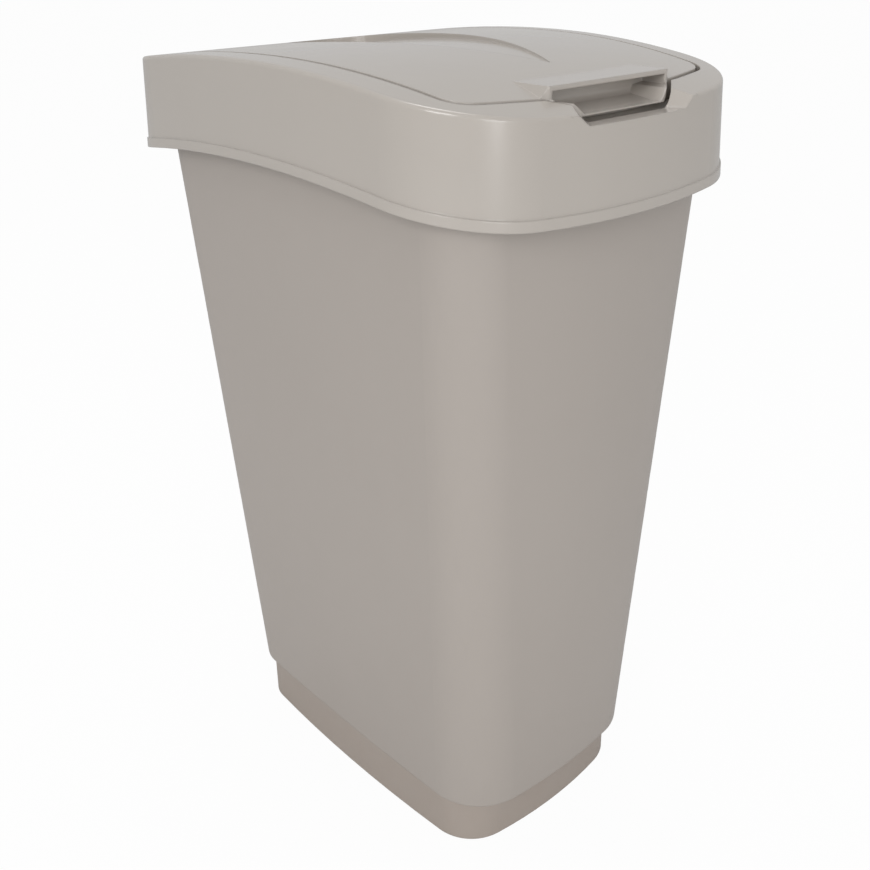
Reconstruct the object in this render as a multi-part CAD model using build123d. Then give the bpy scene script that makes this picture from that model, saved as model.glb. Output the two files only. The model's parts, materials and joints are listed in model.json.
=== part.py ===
from build123d import *
from dataclasses import dataclass, replace
from math import hypot
import os

# Overall size of the bin, in millimetres. The front, with the grip, faces -Y
WIDTH = 298.0
LENGTH = 401.0
RIM_HEIGHT = 558.0

# Wall thicknesses
TUB_WALL = 2.2
FLOOR_WALL = 3.0
FRAME_WALL = 2.4
LID_WALL = 2.4

# Tub, from the plinth up to the rim. The lid frame stands out beyond the rim by the overhang
RIM_OVERHANG = 17.0
TAPER_SIDE = 33.0
TAPER_FRONT = 27.2
TUB_FOOT_SIDE_BOW = 2.9
TUB_TOP_SIDE_BOW = 8.0
TUB_FOOT_FRONT_BOW = 9.9
TUB_TOP_FRONT_BOW = 18.7
TUB_FOOT_FRONT_ROUND = 48.0
TUB_TOP_FRONT_ROUND = 43.5
TUB_FOOT_REAR_ROUND = 37.0
TUB_TOP_REAR_ROUND = 44.5
RIM_LIP = 2.6
RIM_LIP_HEIGHT = 4.0
SHOULDER_ROUND = 2.5

# Plinth, set back under the tub
PLINTH_HEIGHT = 43.6
PLINTH_SIDE_INSET = 2.6
PLINTH_FRONT_INSET = 11.8
PLINTH_REAR_INSET = 9.2
PLINTH_SIDE_BOW = 6.4
PLINTH_FRONT_BOW = 10.9
PLINTH_FRONT_ROUND = 39.0
PLINTH_REAR_ROUND = 28.0
FOOT_ROUND = 2.5

# Skirt of the lid frame: its lower edge is a long arch, highest near the middle
FRAME_OVERLAP = 20.1
ARCH_Y = 4.3
ARCH_FRONT_RADIUS = 993.0
ARCH_REAR_RADIUS = 1079.0
SKIRT_HEIGHT = 65.6
BEAD_HEIGHT = 7.0
BEAD_PROUD = 1.0
FRAME_SIDE_BOW = 7.3
FRAME_FRONT_BOW = 22.2
FRAME_FRONT_ROUND = 76.0
FRAME_REAR_ROUND = 56.0

# Crease between the skirt and the crowned top face that the frame and the swing lid share
CREASE_FRONT_RADIUS = 873.0
CREASE_REAR_RADIUS = 1180.0
CREASE_INSET = 2.5
CREASE_ROUND = 2.6
CROWN = 14.0

# Opening for the swing lid, and the lid's running gap in it
BAND = 19.9
LID_GAP = 2.8
OPENING_FRONT_BOW = 18.9
OPENING_FRONT_ROUND = 22.0
OPENING_REAR_ROUND = 26.0
FRAME_FLANGE = 14.0
LEDGE_WALL = 2.0
LEDGE_REACH = 9.0
LEDGE_LENGTH = 106.0
SEAT_CLEARANCE = 0.3

# Notch in the front of the frame, under the grip
NOTCH_DEPTH = 6.0
NOTCH_HALF_WIDTH = 47.5
NOTCH_FLARE = 0.85
NOTCH_FRONT_RAMP = 1.6
NOTCH_BACK_RAMP = 0.95
NOTCH_ROUND = 7.0

# Grip on the front of the swing lid: a raised lip over a finger recess that ends in a tongue
LIP_SETBACK = 2.2
LIP_RISE = 7.0
LIP_LENGTH = 48.0
LIP_HALF_WIDTH = 56.0
LIP_THICKNESS = 3.0
LIP_SIDE_SLOPE = 0.7
RECESS_LENGTH = 20.5
RECESS_HALF_WIDTH = 53.5
RECESS_ROUND = 4.5
TONGUE_REACH = 8.5
TONGUE_HALF_WIDTH = 36.5
TONGUE_PLAN_HALF_WIDTH = 42.0
TONGUE_FLARE = 1.3
TONGUE_RAMP = 1.1
TONGUE_SHELF = 7.2
TONGUE_SHELF_RISE = 1.0
TONGUE_LIFT = 4.0
TONGUE_DROP = 2.4
TONGUE_TIP_WALL = 0.8
TONGUE_TIP_LENGTH = 6.0
TONGUE_ROUND = 14.0
TONGUE_SECTION_ROUND = 5.0

# Push dish in the rear of the swing lid
DISH_FRONT_MARGIN = 53.0
DISH_REAR_MARGIN = 34.0
DISH_HALF_WIDTH = 46.0
DISH_FULLNESS = 0.78
DISH_TIP_DEPTH = 0.8
DISH_TILT = 1.1

# Hinge: one pin on each side, pressed into the lid and turning in the frame
PIVOT_Y = 30.0
PIVOT_DROP = 11.4
PIN_RADIUS = 3.0
PIN_CLEARANCE = 0.05
PIN_HEAD_RADIUS = 5.0
PIN_HEAD_WALL = 2.0
LUG_RADIUS = 7.0
LUG_WALL = 3.0
BOSS_LENGTH = 7.5
BOSS_WALL = 1.2

# Heights that follow from the rim
ARCH_HEIGHT = RIM_HEIGHT - FRAME_OVERLAP
CREASE_HEIGHT = ARCH_HEIGHT + SKIRT_HEIGHT
TOP_HEIGHT = CREASE_HEIGHT + CROWN
PIVOT_HEIGHT = CREASE_HEIGHT - PIVOT_DROP
FRAME_HALF_WIDTH = WIDTH / 2 - BEAD_PROUD
FRAME_HALF_LENGTH = LENGTH / 2 - BEAD_PROUD


@dataclass(frozen=True)
class Plan:
    """Plan outline with bowed sides, a bowed front, a straight rear and round corners."""

    half_width: float
    front: float
    rear: float
    side_bow: float
    front_bow: float
    front_round: float
    rear_round: float

    def inset(self, distance: float) -> "Plan":
        """The same outline moved inward by a distance, or outward when it is negative."""
        return replace(
            self,
            half_width=self.half_width - distance,
            front=self.front + distance,
            rear=self.rear - distance,
            front_round=max(self.front_round - distance, 1.0),
            rear_round=max(self.rear_round - distance, 1.0),
        )

    def face(self, height: float) -> Face:
        """The outline as a flat face at a height."""
        corner_x = self.half_width - self.side_bow
        corner_y = self.front + self.front_bow
        middle_y = (corner_y + self.rear) / 2
        edges = [
            Line((-corner_x, self.rear), (corner_x, self.rear)),
            ThreePointArc((corner_x, self.rear), (self.half_width, middle_y), (corner_x, corner_y)),
            ThreePointArc((corner_x, corner_y), (0, self.front), (-corner_x, corner_y)),
            ThreePointArc((-corner_x, corner_y), (-self.half_width, middle_y), (-corner_x, self.rear)),
        ]
        sheet = make_face(edges)
        sheet = fillet(sheet.vertices().sort_by(Axis.Y)[:2], self.front_round)
        sheet = fillet(sheet.vertices().sort_by(Axis.Y)[-2:], self.rear_round)
        return Pos(0, 0, height) * sheet

    def prism(self, low: float, high: float) -> Part:
        """A straight block on the outline, between two heights."""
        return extrude(self.face(low), high - low)


def between(low_plan: Plan, low: float, high_plan: Plan, high: float) -> Part:
    """Straight-sided block from one outline to another one above it."""
    return loft([low_plan.face(low), high_plan.face(high)], ruled=True)


# Outlines of the tub
TUB_TOP = Plan(WIDTH / 2 - RIM_OVERHANG, -LENGTH / 2 + RIM_OVERHANG, LENGTH / 2 - RIM_OVERHANG,
               TUB_TOP_SIDE_BOW, TUB_TOP_FRONT_BOW, TUB_TOP_FRONT_ROUND, TUB_TOP_REAR_ROUND)
TUB_FOOT = Plan(TUB_TOP.half_width - TAPER_SIDE, TUB_TOP.front + TAPER_FRONT, TUB_TOP.rear - TAPER_FRONT,
                TUB_FOOT_SIDE_BOW, TUB_FOOT_FRONT_BOW, TUB_FOOT_FRONT_ROUND, TUB_FOOT_REAR_ROUND)
PLINTH = Plan(TUB_FOOT.half_width - PLINTH_SIDE_INSET, TUB_FOOT.front + PLINTH_FRONT_INSET,
              TUB_FOOT.rear - PLINTH_REAR_INSET, PLINTH_SIDE_BOW, PLINTH_FRONT_BOW,
              PLINTH_FRONT_ROUND, PLINTH_REAR_ROUND)

# Outlines of the frame, at the height of the arch. Its skirt leans in up to the crease
SKIRT_DRAFT = CREASE_INSET / SKIRT_HEIGHT
ARCH_FRONT_DROP = (FRAME_HALF_LENGTH + ARCH_Y) ** 2 / (2 * ARCH_FRONT_RADIUS)
FRAME_BASE = ARCH_HEIGHT - ARCH_FRONT_DROP - BEAD_HEIGHT
FRAME_HIGH = TOP_HEIGHT + CROWN
SKIRT = Plan(FRAME_HALF_WIDTH, -FRAME_HALF_LENGTH + SKIRT_DRAFT * ARCH_FRONT_DROP,
             FRAME_HALF_LENGTH - SKIRT_DRAFT * ARCH_FRONT_DROP, FRAME_SIDE_BOW, FRAME_FRONT_BOW,
             FRAME_FRONT_ROUND, FRAME_REAR_ROUND)
CREASE = SKIRT.inset(CREASE_INSET)
OPENING = replace(CREASE.inset(BAND), front_bow=OPENING_FRONT_BOW, front_round=OPENING_FRONT_ROUND,
                  rear_round=OPENING_REAR_ROUND)
LID = OPENING.inset(LID_GAP)


def arch_drop(y: float) -> float:
    """How far the lower edge of the skirt has dropped at a place along the bin."""
    radius = ARCH_FRONT_RADIUS if y < ARCH_Y else ARCH_REAR_RADIUS
    return (y - ARCH_Y) ** 2 / (2 * radius)


def crease_drop(y: float) -> float:
    """How far the crease has dropped at a place along the bin."""
    radius = CREASE_FRONT_RADIUS if y < ARCH_Y else CREASE_REAR_RADIUS
    return (y - ARCH_Y) ** 2 / (2 * radius)


def top_height(x: float, y: float) -> float:
    """Height of the crowned top face, whose crown fades out towards the rear."""
    across = 1 - (x / CREASE.half_width) ** 2
    along = 1 - (y / CREASE.rear) ** 2
    fade = ((CREASE.rear - y) / (2 * CREASE.rear)) ** 2
    return CREASE_HEIGHT - crease_drop(y) + CROWN * fade * across * along


# Places of the grip and of the notch under it
NOTCH_FLOOR = CREASE_HEIGHT - crease_drop(CREASE.front) - NOTCH_DEPTH
LIP_FRONT = LID.front + LIP_SETBACK
LIP_BACK = LIP_FRONT + LIP_LENGTH
LIP_TOP = top_height(0, LIP_FRONT) + LIP_RISE
RECESS_BACK = LID.front + RECESS_LENGTH
TONGUE_FRONT = LID.front - TONGUE_REACH
TONGUE_EDGE = NOTCH_FLOOR + TONGUE_LIFT

# Places of the push dish
DISH_TIP = LID.front + DISH_FRONT_MARGIN
DISH_END = LID.rear - DISH_REAR_MARGIN


def top_face() -> Face:
    """The crowned top face, a little larger than the frame."""
    columns, rows = 25, 33
    half_x = WIDTH / 2 + BEAD_PROUD
    half_y = LENGTH / 2 + BEAD_PROUD
    grid = []
    for i in range(columns):
        x = half_x * (2 * i / (columns - 1) - 1)
        ys = [half_y * (2 * j / (rows - 1) - 1) for j in range(rows)]
        grid.append([Vector(x, y, top_height(x, y)) for y in ys])
    return Face.make_surface_from_array_of_points(grid)


TOP = top_face()


def above(drop: float) -> Part:
    """Everything above the top face lowered by a distance."""
    sheet = TOP.moved(Pos(0, 0, -drop))
    return Part() + Solid.extrude(sheet, Vector(0, 0, LENGTH))


def layer(shape: Part, high_drop: float, low_drop: float) -> Part:
    """The part of a shape between two lowered copies of the top face."""
    return (shape - above(high_drop)) & above(low_drop)


def arch_block(height: float) -> Part:
    """Block across the whole bin whose lower and upper faces follow the skirt's lower edge."""
    front = -LENGTH / 2 - BEAD_PROUD
    rear = LENGTH / 2 + BEAD_PROUD
    edges = []
    for base in (ARCH_HEIGHT, ARCH_HEIGHT + height):
        for start, end in ((front, ARCH_Y), (ARCH_Y, rear)):
            middle = (start + end) / 2
            points = [(y, base - (0 if y == ARCH_Y else arch_drop(y))) for y in (start, middle, end)]
            edges.append(ThreePointArc(*points))
    edges.append(Line(edges[0] @ 0, edges[2] @ 0))
    edges.append(Line(edges[1] @ 1, edges[3] @ 1))
    sheet = Plane.YZ * make_face(edges)
    return extrude(sheet, WIDTH, both=True)


def side_profile(points: list, half_width: float) -> Part:
    """Block with an outline drawn in the side view, centred across the bin."""
    sheet = Plane.YZ * make_face(Polyline(*points, close=True))
    return extrude(sheet, half_width, both=True)


def front_section(points: list, y: float, corner: float) -> Face:
    """Outline drawn in the front view at a place along the bin, with its two low corners rounded."""
    sheet = make_face(Polyline(*points, close=True))
    if corner > 0:
        sheet = fillet(sheet.vertices().sort_by(Axis.Y)[:2], corner)
    return Pos(0, y, 0) * (Plane.XZ * sheet)


def front_profile(points: list, front: float, rear: float, corner: float = 0) -> Part:
    """Block with an outline drawn in the front view, between two places along the bin."""
    return extrude(front_section(points, rear, corner), rear - front)


def x_cylinder(radius: float, start: float, end: float) -> Part:
    """Cylinder along X between two places, at the height and the place of the hinge."""
    bar = Rot(0, 90, 0) * Cylinder(radius, abs(end - start))
    return Pos((start + end) / 2, PIVOT_Y, PIVOT_HEIGHT) * bar


def hanger(start: float, end: float) -> Part:
    """Round-ended web round the hinge between two places across the bin, up into the top."""
    web = Box(abs(end - start), 2 * LUG_RADIUS, TOP_HEIGHT - PIVOT_HEIGHT,
              align=(Align.CENTER, Align.CENTER, Align.MIN))
    return x_cylinder(LUG_RADIUS, start, end) + Pos((start + end) / 2, PIVOT_Y, PIVOT_HEIGHT) * web


def make_bin_body() -> Part:
    """Tapered tub on a recessed plinth, with an outward lip round its rim."""
    outer = between(TUB_FOOT, PLINTH_HEIGHT, TUB_TOP, RIM_HEIGHT)
    outer = fillet(outer.edges().group_by(Axis.Z)[0], SHOULDER_ROUND)
    plinth = PLINTH.prism(0, PLINTH_HEIGHT + SHOULDER_ROUND)
    plinth = fillet(plinth.edges().group_by(Axis.Z)[0], FOOT_ROUND)
    lip_plan = TUB_TOP.inset(-RIM_LIP)
    lip_base = RIM_HEIGHT - RIM_LIP_HEIGHT
    lip = between(TUB_TOP, lip_base - RIM_LIP, lip_plan, lip_base) + lip_plan.prism(lip_base, RIM_HEIGHT)
    well_top = PLINTH_HEIGHT + FLOOR_WALL
    well = PLINTH.inset(TUB_WALL).prism(FLOOR_WALL, well_top)
    hollow = between(TUB_FOOT.inset(TUB_WALL), well_top, TUB_TOP.inset(TUB_WALL), RIM_HEIGHT)
    return outer + plinth + lip - well - hollow


def notch_block(wall: float) -> Part:
    """Notch in the front of the frame, wider towards the front, its floor and ramps moved outward by a wall."""
    floor = NOTCH_FLOOR - wall
    rise = TOP_HEIGHT - floor
    sections = []
    for y, ramp in ((-LENGTH / 2 - BEAD_PROUD, NOTCH_FRONT_RAMP), (LID.front, NOTCH_BACK_RAMP)):
        half = NOTCH_HALF_WIDTH + wall + NOTCH_FLARE * (CREASE.front - y)
        spread = half + rise * ramp
        points = [(-half, floor), (half, floor), (spread, TOP_HEIGHT), (-spread, TOP_HEIGHT)]
        sections.append(front_section(points, y, NOTCH_ROUND))
    return loft(sections, ruled=True)


def tongue_prism(grow: float) -> Part:
    """Block over the tongue's plan outline grown by a distance, through the whole lid frame."""
    front = TONGUE_FRONT - grow
    rear = LID.front + OPENING_FRONT_BOW
    half = TONGUE_PLAN_HALF_WIDTH + grow * (hypot(1, TONGUE_FLARE) - TONGUE_FLARE)
    spread = half + TONGUE_FLARE * (rear - front)
    outline = make_face(Polyline((-half, front), (half, front), (spread, rear), (-spread, rear), close=True))
    outline = fillet(outline.vertices().sort_by(Axis.Y)[:2], TONGUE_ROUND + grow)
    return extrude(Pos(0, 0, FRAME_BASE) * outline, FRAME_HIGH - FRAME_BASE)


def make_lid_frame() -> Part:
    """Arched lid frame with a draughted skirt, a bead, a band round the opening and a front notch."""
    low_plan = SKIRT.inset(SKIRT_DRAFT * (FRAME_BASE - ARCH_HEIGHT))
    high_plan = SKIRT.inset(SKIRT_DRAFT * (FRAME_HIGH - ARCH_HEIGHT))
    block = between(low_plan, FRAME_BASE, high_plan, FRAME_HIGH)
    cavity = between(low_plan.inset(FRAME_WALL), FRAME_BASE, high_plan.inset(FRAME_WALL), FRAME_HIGH)
    outer = (block & arch_block(SKIRT_HEIGHT * 2)) - above(0)
    crease_low = CREASE_HEIGHT - crease_drop(CREASE.front) - CROWN
    crease = outer.edges().filter_by(lambda edge: edge.center().Z > crease_low)
    outer = fillet(crease, CREASE_ROUND)
    frame = outer - (cavity - above(FRAME_WALL))

    # Bead along the lower edge
    bead_block = between(low_plan.inset(-BEAD_PROUD), FRAME_BASE, high_plan.inset(-BEAD_PROUD), FRAME_HIGH)
    frame += (bead_block - cavity) & arch_block(BEAD_HEIGHT)

    # Ring that stands on the rim of the tub
    ring = TUB_TOP.inset(-FRAME_WALL - SEAT_CLEARANCE).prism(RIM_HEIGHT, TOP_HEIGHT)
    ring -= TUB_TOP.inset(-SEAT_CLEARANCE).prism(RIM_HEIGHT, TOP_HEIGHT)
    frame += ring - above(FRAME_WALL / 2)

    # Opening, with a flange hanging from its edge and a ledge under the front half of the lid
    opening = OPENING.prism(FRAME_BASE, FRAME_HIGH) + tongue_prism(LID_GAP)
    rim = OPENING.inset(-FRAME_WALL).prism(FRAME_BASE, FRAME_HIGH) + tongue_prism(LID_GAP + FRAME_WALL)
    frame -= opening
    frame += layer(rim - opening, FRAME_WALL / 2, FRAME_FLANGE)
    ledge = rim - OPENING.inset(LEDGE_REACH).prism(FRAME_BASE, FRAME_HIGH)
    ledge -= Pos(0, OPENING.front + LEDGE_LENGTH, FRAME_BASE) * Box(
        WIDTH, LENGTH, LENGTH, align=(Align.CENTER, Align.MIN, Align.MIN))
    frame += layer(ledge, FRAME_FLANGE, FRAME_FLANGE + LEDGE_WALL)

    # Notch: a floor strip between two ramps
    notch = notch_block(0)
    frame += ((notch_block(FRAME_WALL) - notch) & block) - above(0) - opening
    frame -= notch

    # Bosses that the hinge pins turn in
    for side in (-1, 1):
        frame += hanger(side * (OPENING.half_width - BOSS_WALL),
                        side * (OPENING.half_width + BOSS_LENGTH)) - above(FRAME_WALL / 2)
        frame -= x_cylinder(PIN_RADIUS + PIN_CLEARANCE, 0, side * (OPENING.half_width + BOSS_LENGTH))
    return frame


def dish_plan(grow: float) -> Face:
    """Pointed outline of the push dish, grown by a distance."""
    tip = (0, DISH_TIP - grow)
    half = DISH_HALF_WIDTH + grow
    shoulder = DISH_END - DISH_HALF_WIDTH
    middle = (DISH_TIP + shoulder) / 2
    edges = []
    for side in (-1, 1):
        edges.append(ThreePointArc(tip, (side * half * DISH_FULLNESS, middle), (side * half, shoulder)))
        edges.append(TangentArc((side * half, shoulder), (0, DISH_END + grow), tangent=(0, 1)))
    return make_face(edges)


def dish_block(wall: float) -> Part:
    """Space of the dish over its sloping floor, with its floor and sides moved outward by a wall."""
    sheet = TOP.moved(Pos(0, 0, -DISH_TIP_DEPTH - wall))
    hinge = Axis((0, DISH_TIP, top_height(0, DISH_TIP)), (1, 0, 0))
    floor = Solid.extrude(sheet.rotate(hinge, -DISH_TILT), Vector(0, 0, LENGTH))
    return extrude(Pos(0, 0, FRAME_BASE) * dish_plan(wall), LENGTH) & (Part() + floor)


def recess_block(wall: float) -> Part:
    """Finger recess under the lip, with its floor and sides moved outward by a wall."""
    front = TONGUE_FRONT - LID_GAP
    back = RECESS_BACK + wall
    edge = TONGUE_EDGE - wall
    high = LIP_TOP - LIP_THICKNESS + wall
    tip = TONGUE_EDGE - min(wall, TONGUE_TIP_WALL)
    side = [(front, tip), (TONGUE_FRONT, tip), (TONGUE_FRONT + TONGUE_TIP_LENGTH, edge),
            (back, edge + TONGUE_DROP), (back, high), (front, high)]
    block = side_profile(side, WIDTH / 2)
    block = fillet(block.edges().filter_by(Axis.X).sort_by(Axis.Y)[-2:], RECESS_ROUND)
    half = TONGUE_HALF_WIDTH + wall
    widest = RECESS_HALF_WIDTH + wall
    shelf = edge + TONGUE_SHELF
    shelf_half = half + TONGUE_SHELF * TONGUE_RAMP
    end = shelf + TONGUE_SHELF_RISE
    points = [(-half, edge), (half, edge), (shelf_half, shelf), (widest, end), (widest, high), (-widest, high),
              (-widest, end), (-shelf_half, shelf)]
    return block & front_profile(points, front, back, TONGUE_SECTION_ROUND)


def make_swing_lid() -> Part:
    """Crowned swing lid with a flange, a push dish, a grip with its recess, and two hinge lugs."""
    prism = LID.prism(FRAME_BASE, FRAME_HIGH)
    inner = LID.inset(LID_WALL).prism(FRAME_BASE, FRAME_HIGH)
    lid = layer(prism, 0, FRAME_FLANGE - SEAT_CLEARANCE)
    lid -= inner - above(LID_WALL)

    # Push dish, with its own wall underneath
    lid += dish_block(LID_WALL) - above(LID_WALL / 2)
    lid -= dish_block(0)

    # Grip: a raised block with sloping sides, then the finger recess under its lip
    whole = prism + tongue_prism(0)
    grip_low = LIP_TOP - 2 * LIP_RISE
    grip_side = [(LIP_FRONT, grip_low), (LIP_FRONT, LIP_TOP), (LIP_BACK, top_height(0, LIP_BACK)),
                 (LIP_BACK, grip_low)]
    base = LIP_HALF_WIDTH + 2 * LIP_RISE * LIP_SIDE_SLOPE
    slope = [(-base, grip_low), (base, grip_low), (LIP_HALF_WIDTH, LIP_TOP), (-LIP_HALF_WIDTH, LIP_TOP)]
    grip = side_profile(grip_side, WIDTH / 2) & front_profile(slope, LIP_FRONT, LIP_BACK)
    lid += (grip & above(LID_WALL / 2)) & whole
    lid += (recess_block(LID_WALL) & whole) - above(0)
    lid -= recess_block(0)

    # Hinge lugs inside the flange
    for side in (-1, 1):
        lid += hanger(side * (LID.half_width - LUG_WALL), side * LID.half_width) - above(LID_WALL / 2)
        lid -= x_cylinder(PIN_RADIUS, 0, side * WIDTH / 2)
    return lid


def make_pivot_pin(side: int) -> Part:
    """Headed hinge pin, pressed outward through the lid's lug into the frame's boss."""
    head_start = side * (LID.half_width - LUG_WALL - PIN_HEAD_WALL)
    head_end = side * (LID.half_width - LUG_WALL)
    tip = side * (OPENING.half_width + BOSS_LENGTH - BOSS_WALL)
    return x_cylinder(PIN_RADIUS, head_start, tip) + x_cylinder(PIN_HEAD_RADIUS, head_start, head_end)


os.makedirs("parts", exist_ok=True)
NODES = {
    "bin_body": make_bin_body(),
    "lid_frame": make_lid_frame(),
    "swing_lid": make_swing_lid(),
    "left_pivot_pin": make_pivot_pin(-1),
    "right_pivot_pin": make_pivot_pin(1),
}
for name, shape in NODES.items():
    export_step(shape, f"parts/{name}.step")
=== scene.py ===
"""Looks of the swing lid bin: a tapered tub, an arched lid frame and a swing lid with a finger grip."""

import json
import logging
import math
from dataclasses import dataclass, field
from enum import Enum

import bpy
from mathutils import Matrix, Vector

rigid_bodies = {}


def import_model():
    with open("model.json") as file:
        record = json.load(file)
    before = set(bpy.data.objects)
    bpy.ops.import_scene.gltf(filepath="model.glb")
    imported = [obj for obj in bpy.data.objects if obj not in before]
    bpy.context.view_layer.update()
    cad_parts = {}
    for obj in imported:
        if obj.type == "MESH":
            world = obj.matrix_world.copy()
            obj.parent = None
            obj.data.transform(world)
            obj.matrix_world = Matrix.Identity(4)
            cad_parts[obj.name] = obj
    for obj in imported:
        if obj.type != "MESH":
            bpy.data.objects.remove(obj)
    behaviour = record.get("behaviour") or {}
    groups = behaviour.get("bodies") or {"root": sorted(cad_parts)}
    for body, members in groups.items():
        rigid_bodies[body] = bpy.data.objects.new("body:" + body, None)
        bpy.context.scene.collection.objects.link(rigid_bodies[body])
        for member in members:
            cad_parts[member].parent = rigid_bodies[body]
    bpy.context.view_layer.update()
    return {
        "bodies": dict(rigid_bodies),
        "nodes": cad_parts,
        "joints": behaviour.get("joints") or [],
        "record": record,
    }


LOG = logging.getLogger("swing_lid_bin")
PICTURE_SIDE = 870  # pixels of the square reference view
PLASTIC_IOR = 1.49
BEVEL_SAMPLES = 8
WHITE = (1.0, 1.0, 1.0)

Colour = tuple[float, float, float]


@dataclass(frozen=True)
class Grain:
    """One noise pattern: grains per metre, number of finer layers and their strength."""

    scale: float
    detail: float
    rough: float


CLOUD = Grain(7.0, 3.0, 0.55)
FLOW = Grain(1.0, 4.0, 0.6)
FLOW_STRETCH = (26.0, 26.0, 5.0)  # flow marks run up the wall, so they are long in Z
SPECK = Grain(900.0, 2.0, 0.5)
CLOUD_SHARE, FLOW_SHARE, SPECK_SHARE = 0.6, 0.3, 0.1

FOOT_PATCH = Grain(60.0, 4.0, 0.7)
FOOT_PATCH_SHARE = 0.5  # how far the foot's tint follows its patches
FOOT_FADE = 0.012  # metres over which the foot's tint fades out

WEAR = Grain(34.0, 5.0, 0.65)
EDGE_START, EDGE_WIDTH = 0.07, 0.3  # in 1 minus the cosine of the angle by which an edge turns the normal
EDGE_HIGHLIGHT_SHARE = 0.8  # how much of the lighter colour, a painted highlight, shows on an edge
EDGE_POLISH = 0.06  # roughness that an edge loses
FOOT_DULLNESS = 0.2  # roughness that a fully tinted foot gains

RIPPLE = Grain(9.0, 1.0, 0.4)
FINE_DETAIL, FINE_ROUGH = 2.0, 0.6


class Operation(Enum):
    """What a Math node does with its two inputs."""

    ADD = "ADD"
    SUBTRACT = "SUBTRACT"
    MULTIPLY = "MULTIPLY"


class Value:
    """A node socket that takes part in Python expressions and adds its own Math nodes."""

    def __init__(self, paint: "Paint", socket: bpy.types.NodeSocket) -> None:
        """Keep the socket and the material that it belongs to.

        Args:
            paint: The material under construction.
            socket: The output socket that carries the value.
        """
        self.paint = paint
        self.socket = socket

    def _math(
        self, operation: Operation, first: "Value | float", second: "Value | float", clamp: bool = False
    ) -> "Value":
        """Add one Math node.

        Args:
            operation: The node's operation.
            first: The first input.
            second: The second input.
            clamp: Whether the result is held between 0 and 1.

        Returns:
            The node's result.
        """
        settings = {"operation": operation.value, "use_clamp": clamp}
        return self.paint.node("ShaderNodeMath", settings, {0: first, 1: second})

    def __add__(self, other: "Value | float") -> "Value":
        """Sum."""
        return self._math(Operation.ADD, self, other)

    def __radd__(self, other: float) -> "Value":
        """Sum with a number first."""
        return self._math(Operation.ADD, self, other)

    def __sub__(self, other: "Value | float") -> "Value":
        """Difference."""
        return self._math(Operation.SUBTRACT, self, other)

    def __rsub__(self, other: float) -> "Value":
        """Difference from a number."""
        return self._math(Operation.SUBTRACT, other, self)

    def __mul__(self, other: "Value | float") -> "Value":
        """Product."""
        return self._math(Operation.MULTIPLY, self, other)

    def clamped(self) -> "Value":
        """The value held between 0 and 1."""
        return self._math(Operation.ADD, self, 0.0, clamp=True)

    def above(self, edge: float, width: float) -> "Value":
        """A smooth step up over a width that starts at an edge.

        Args:
            edge: Where the step starts.
            width: How far it takes to reach 1.

        Returns:
            A mask from 0 to 1.
        """
        settings = {"interpolation_type": "SMOOTHSTEP"}
        inputs = {"Value": self, "From Min": edge, "From Max": edge + width, "To Min": 0.0, "To Max": 1.0}
        return self.paint.node("ShaderNodeMapRange", settings, inputs)


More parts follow.
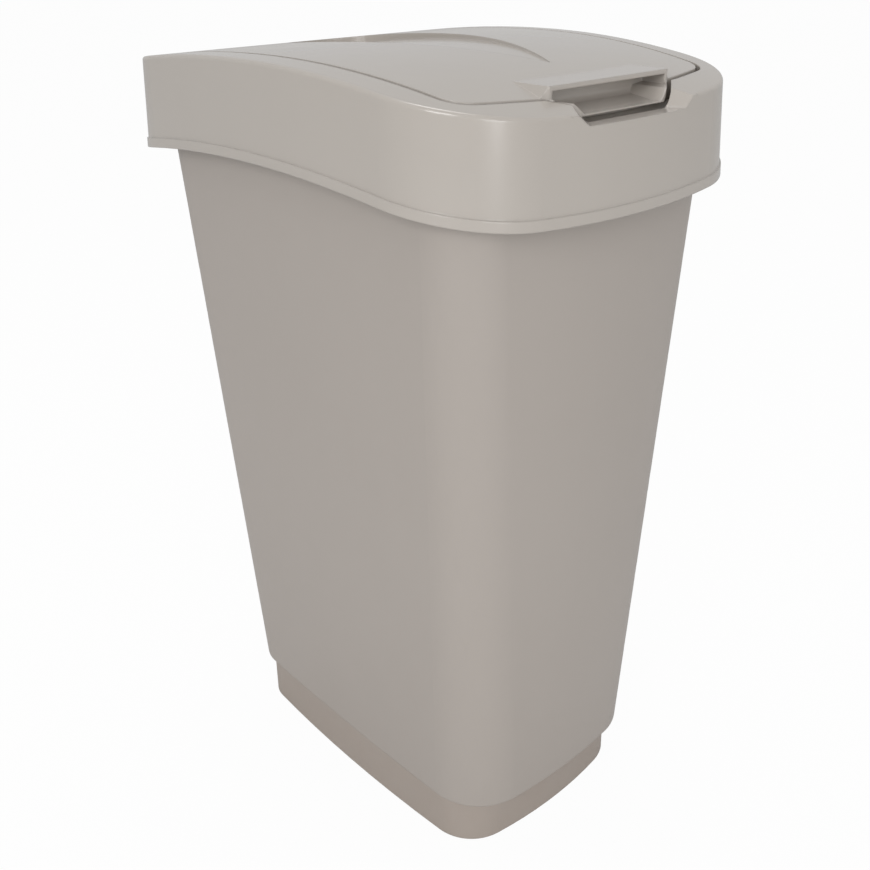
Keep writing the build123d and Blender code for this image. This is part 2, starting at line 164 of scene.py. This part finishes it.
class Paint:
    """One material and the few calls that build its nodes."""

    def __init__(self, name: str) -> None:
        """Start an empty node material.

        Args:
            name: The material's name.
        """
        self.material = bpy.data.materials.new(name)
        self.material.use_nodes = True
        self.tree = self.material.node_tree
        self.tree.nodes.clear()

    def node(self, kind: str, settings: dict, inputs: dict, output: str | int = 0) -> Value:
        """Add a node, set it up and feed its sockets.

        Args:
            kind: The node's type.
            settings: Attributes that are set first.
            inputs: Values or links, by socket name or number.
            output: The output socket to return.

        Returns:
            The chosen output.
        """
        made = self.tree.nodes.new(kind)
        for key, value in settings.items():
            setattr(made, key, value)
        for key, value in inputs.items():
            self.feed(made.inputs[key], value)
        return Value(self, made.outputs[output])

    def feed(self, socket: bpy.types.NodeSocket, value: object) -> None:
        """Link a socket to a value, or set it.

        Args:
            socket: The input socket.
            value: A Value, a number or a colour.
        """
        if isinstance(value, Value):
            self.tree.links.new(value.socket, socket)
        elif isinstance(value, (tuple, list)) and socket.type == "RGBA":
            socket.default_value = (*value[:3], 1.0)
        else:
            socket.default_value = value

    def place(self) -> Value:
        """Position on the object, in metres."""
        return self.node("ShaderNodeTexCoord", {}, {}, "Object")

    def height(self) -> Value:
        """Height of that position, in metres."""
        return self.node("ShaderNodeSeparateXYZ", {}, {"Vector": self.place()}, "Z")

    def scaled(self, factors: tuple[float, float, float]) -> Value:
        """Position stretched by a factor on each axis."""
        return self.node("ShaderNodeVectorMath", {"operation": "MULTIPLY"}, {0: self.place(), 1: factors})

    def noise(self, grain: Grain, vector: Value | None = None) -> Value:
        """Noise between 0 and 1.

        Args:
            grain: The pattern.
            vector: Position to sample, or the object's own.

        Returns:
            The noise value.
        """
        inputs = {
            "Vector": vector or self.place(),
            "Scale": grain.scale,
            "Detail": grain.detail,
            "Roughness": grain.rough,
        }
        return self.node("ShaderNodeTexNoise", {}, inputs, "Fac")

    def mix(self, factor: Value | float, first: Value | Colour, second: Value | Colour) -> Value:
        """Mix two colours.

        Args:
            factor: How much of the second colour shows.
            first: The colour underneath.
            second: The colour on top.

        Returns:
            The mixed colour.
        """
        # The node has one set of sockets for each kind of data; the colours' own are 6 and 7 in and 2 out.
        settings = {"data_type": "RGBA", "blend_type": "MIX"}
        return self.node("ShaderNodeMix", settings, {0: factor, 6: first, 7: second}, 2)

    def bump(self, height: Value, distance: float, normal: Value) -> Value:
        """A normal tilted by a height pattern.

        Args:
            height: The pattern.
            distance: Its full height, in metres.
            normal: The normal that it starts from.

        Returns:
            The tilted normal.
        """
        inputs = {"Height": height, "Strength": 1.0, "Distance": distance, "Normal": normal}
        return self.node("ShaderNodeBump", {}, inputs, "Normal")

    def surface(self, inputs: dict) -> bpy.types.Material:
        """Finish the material with a Principled shader.

        Args:
            inputs: Values or links for the shader's sockets.

        Returns:
            The finished material.
        """
        self.output(self.node("ShaderNodeBsdfPrincipled", {}, inputs, "BSDF"))
        return self.material

    def output(self, shader: Value) -> None:
        """Send a shader to the material's surface."""
        end = self.tree.nodes.new("ShaderNodeOutputMaterial")
        self.tree.links.new(shader.socket, end.inputs["Surface"])


@dataclass(frozen=True)
class MouldedPlastic:
    """Injection-moulded plastic with a fine texture, faint flow marks, edges painted lighter as a highlight
    and a little less rough, and a tinted foot.
    """

    name: str
    colour: Colour
    shade: Colour
    roughness: float
    roughness_spread: float
    grain_scale: float
    grain_depth: float
    ripple_depth: float
    # how much lighter the painted highlight on the edges is
    edge_highlight_gain: float
    coat: float
    foot_tint: Colour = (0.60, 0.57, 0.53)
    foot_amount: float = 0.05
    foot_height: float = 0.05
    edge_radius: float = 0.0016
    coat_roughness: float = 0.10
    specular: float = 0.5

    def material(self) -> bpy.types.Material:
        """Build the plastic's node material.

        Returns:
            The material.
        """
        paint = Paint(self.name)
        cloud = paint.noise(CLOUD)
        flow = paint.noise(FLOW, paint.scaled(FLOW_STRETCH))
        speck = paint.noise(SPECK)
        mottle = (cloud * CLOUD_SHARE + flow * FLOW_SHARE + speck * SPECK_SHARE).clamped()
        colour = paint.mix(mottle, self.shade, self.colour)

        bevel = {"samples": BEVEL_SAMPLES}
        rounded = paint.node("ShaderNodeBevel", bevel, {"Radius": self.edge_radius}, "Normal")
        edge = self.edge_highlight_and_polish_mask(paint, rounded)
        # Painted highlight: edges are painted lighter so that they read as the glints of light along rounded
        # edges.
        painted_highlight_colour = tuple(min(1.0, channel * (1.0 + self.edge_highlight_gain)) for channel in self.colour)
        colour = paint.mix(edge * EDGE_HIGHLIGHT_SHARE, colour, painted_highlight_colour)

        low = 1.0 - paint.height().above(self.foot_height - FOOT_FADE, FOOT_FADE)
        patches = paint.noise(FOOT_PATCH) * FOOT_PATCH_SHARE + (1.0 - FOOT_PATCH_SHARE)
        foot = (low * patches).clamped() * self.foot_amount
        colour = paint.mix(foot, colour, self.foot_tint)

        uneven = (paint.noise(WEAR) - 0.5) * self.roughness_spread
        roughness = self.roughness + uneven - edge * EDGE_POLISH + foot * FOOT_DULLNESS
        grain = paint.noise(Grain(self.grain_scale, FINE_DETAIL, FINE_ROUGH))
        ripple = paint.noise(RIPPLE)
        normal = paint.bump(ripple, self.ripple_depth, paint.bump(grain, self.grain_depth, rounded))
        return paint.surface({
            "Base Color": colour,
            "Roughness": roughness,
            "Normal": normal,
            "Specular IOR Level": self.specular,
            "Coat Weight": self.coat,
            "Coat Roughness": self.coat_roughness,
            "IOR": PLASTIC_IOR,
        })

    def edge_highlight_and_polish_mask(self, paint: Paint, rounded: Value) -> Value:
        """Where edges get a painted highlight, a lighter colour, and lose a little roughness.

        Args:
            paint: The material under construction.
            rounded: The normal of the rounded edges.

        Returns:
            A mask from 0 to 1.
        """
        flat = paint.node("ShaderNodeNewGeometry", {}, {}, "Normal")
        dot = paint.node("ShaderNodeVectorMath", {"operation": "DOT_PRODUCT"}, {0: rounded, 1: flat}, "Value")
        return (1.0 - dot).above(EDGE_START, EDGE_WIDTH)


LID_PLASTIC = MouldedPlastic(
    name="lid_satin_plastic",
    colour=(0.436, 0.402, 0.366),
    shade=(0.412, 0.378, 0.344),
    roughness=0.24,
    roughness_spread=0.08,
    grain_scale=900.0,
    grain_depth=0.000005,
    ripple_depth=0.00012,
    edge_highlight_gain=0.22,
    coat=0.40,
)
TUB_PLASTIC = MouldedPlastic(
    name="tub_matte_plastic",
    colour=(0.382, 0.346, 0.316),
    shade=(0.360, 0.324, 0.294),
    roughness=0.44,
    roughness_spread=0.10,
    grain_scale=1100.0,
    grain_depth=0.00001,
    ripple_depth=0.00012,
    edge_highlight_gain=0.10,
    coat=0.0,
    foot_tint=(0.330, 0.262, 0.215),
    foot_amount=0.50,
    foot_height=0.048,
)
PIN_PLASTIC = MouldedPlastic(
    name="pin_plastic",
    colour=(0.36, 0.33, 0.30),
    shade=(0.33, 0.30, 0.27),
    roughness=0.42,
    roughness_spread=0.08,
    grain_scale=1800.0,
    grain_depth=0.00002,
    ripple_depth=0.0001,
    edge_highlight_gain=0.1,
    coat=0.0,
)


@dataclass
class MouldedPiece:
    """A CAD node that keeps its shape and gets a finish."""

    node: str
    finish: MouldedPlastic

    def dress(self, frame: dict) -> None:
        """Put the finish on the node.
        """
        piece = frame["nodes"][self.node]
        piece.data.materials.clear()
        piece.data.materials.append(self.finish.material())
        LOG.info("dressed %s in %s", self.node, self.finish.name)


@dataclass
class Bin:
    """The whole bin: tub, lid frame, swing lid and hinge pins."""

    pieces: list[MouldedPiece] = field(default_factory=lambda: [
        MouldedPiece("bin_body", TUB_PLASTIC),
        MouldedPiece("lid_frame", LID_PLASTIC),
        MouldedPiece("swing_lid", LID_PLASTIC),
        MouldedPiece("left_pivot_pin", PIN_PLASTIC),
        MouldedPiece("right_pivot_pin", PIN_PLASTIC),
    ])

    def build(self, frame: dict) -> None:
        """Dress every piece.
        """
        for piece in self.pieces:
            piece.dress(frame)


@dataclass
class Camera:
    """The camera that sees the bin as the reference view does: metres, degrees, pixels and a sensor in mm."""

    place: tuple[float, float, float] = (-0.5264, -0.6014, 0.6854)
    yaw: float = 42.79
    pitch: float = 22.82
    roll: float = -0.38
    focal_pixels: float = 1070.8
    centre_pixel: tuple[float, float] = (459.9, 369.7)
    sensor: float = 36.0
    far_end: float = 50.0

    def build(self) -> None:
        """Create the camera and make it the scene's own."""
        yaw, pitch, roll = (math.radians(angle) for angle in (self.yaw, self.pitch, self.roll))
        forward = Vector((math.sin(yaw) * math.cos(pitch), math.cos(yaw) * math.cos(pitch), -math.sin(pitch)))
        right = Vector((math.cos(yaw), -math.sin(yaw), 0.0))
        up = right.cross(forward)
        turned_right = right * math.cos(roll) + up * math.sin(roll)
        turned_up = up * math.cos(roll) - right * math.sin(roll)
        data = bpy.data.cameras.new("camera")
        data.sensor_width = self.sensor
        data.lens = self.focal_pixels * self.sensor / PICTURE_SIDE
        data.shift_x = (PICTURE_SIDE / 2 - self.centre_pixel[0]) / PICTURE_SIDE
        data.shift_y = (self.centre_pixel[1] - PICTURE_SIDE / 2) / PICTURE_SIDE
        data.clip_end = self.far_end
        camera = bpy.data.objects.new("camera", data)
        axes = Matrix((turned_right, turned_up, -forward)).transposed()
        camera.matrix_world = Matrix.Translation(self.place) @ axes.to_4x4()
        bpy.context.scene.collection.objects.link(camera)
        bpy.context.scene.camera = camera
        LOG.info("camera placed")


@dataclass
class Lamp:
    """One soft round area lamp that looks at the bin."""

    name: str
    place: tuple[float, float, float]
    diameter: float
    watts: float
    aim: tuple[float, float, float] = (0.0, 0.0, 0.35)
    colour: Colour = WHITE

    def build(self) -> None:
        """Create the lamp."""
        data = bpy.data.lights.new(self.name, "AREA")
        data.shape = "DISK"
        data.size = self.diameter
        data.energy = self.watts
        data.color = self.colour
        lamp = bpy.data.objects.new(self.name, data)
        lamp.location = self.place
        aim = Vector(self.aim) - Vector(self.place)
        lamp.rotation_euler = aim.to_track_quat("-Z", "Y").to_euler()
        bpy.context.scene.collection.objects.link(lamp)


@dataclass
class Studio:
    """Pale floor, soft lamps and a white surround."""

    floor_side: float = 30.0
    floor_colour: Colour = (0.80, 0.80, 0.80)
    floor_glow: float = 0.96
    surround: float = 0.60
    lamps: list[Lamp] = field(default_factory=lambda: [
        Lamp("left_lamp", (-2.6, -1.2, 1.6), 1.4, 30.0),
        Lamp("front_lamp", (-0.9, -2.6, 0.9), 1.2, 15.0),
        Lamp("top_lamp", (0.2, 0.4, 2.6), 1.0, 11.0),
    ])

    def build(self) -> None:
        """Create floor, lamps and world."""
        self.build_floor()
        for lamp in self.lamps:
            lamp.build()
        self.build_world()
        bpy.context.scene.view_settings.view_transform = "Standard"
        LOG.info("studio built")

    def build_floor(self) -> None:
        """Create the floor under the bin, which the camera sees almost white."""
        half = self.floor_side / 2
        corners = [(-half, -half, 0.0), (half, -half, 0.0), (half, half, 0.0), (-half, half, 0.0)]
        mesh = bpy.data.meshes.new("floor")
        mesh.from_pydata(corners, [], [(0, 1, 2, 3)])
        floor = bpy.data.objects.new("floor", mesh)
        bpy.context.scene.collection.objects.link(floor)
        paint = Paint("floor_paper")
        diffuse = paint.node("ShaderNodeBsdfDiffuse", {}, {"Color": self.floor_colour}, "BSDF")
        glow = paint.node("ShaderNodeEmission", {}, {"Color": WHITE, "Strength": 1.0}, "Emission")
        camera = paint.node("ShaderNodeLightPath", {}, {}, "Is Camera Ray")
        share = camera * self.floor_glow
        paint.output(paint.node("ShaderNodeMixShader", {}, {0: share, 1: diffuse, 2: glow}))
        mesh.materials.append(paint.material)

    def build_world(self) -> None:
        """Create the surround: white where the camera sees it, softer as light and in reflections."""
        world = bpy.data.worlds.new("surround")
        bpy.context.scene.world = world
        world.use_nodes = True
        nodes, links = world.node_tree.nodes, world.node_tree.links
        nodes.clear()
        path = nodes.new("ShaderNodeLightPath")
        mix = nodes.new("ShaderNodeMixShader")
        out = nodes.new("ShaderNodeOutputWorld")
        links.new(path.outputs["Is Camera Ray"], mix.inputs[0])
        for slot, strength in ((1, self.surround), (2, 1.0)):
            background = nodes.new("ShaderNodeBackground")
            background.inputs["Strength"].default_value = strength
            background.inputs["Color"].default_value = (*WHITE, 1.0)
            links.new(background.outputs[0], mix.inputs[slot])
        links.new(mix.outputs[0], out.inputs["Surface"])


def main() -> None:
    """Build the bin's looks around its frame."""
    logging.basicConfig(level=logging.INFO, format="%(name)s: %(message)s")
    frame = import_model()
    Camera().build()
    Studio().build()
    Bin().build(frame)


if __name__ == "__main__":
    main()
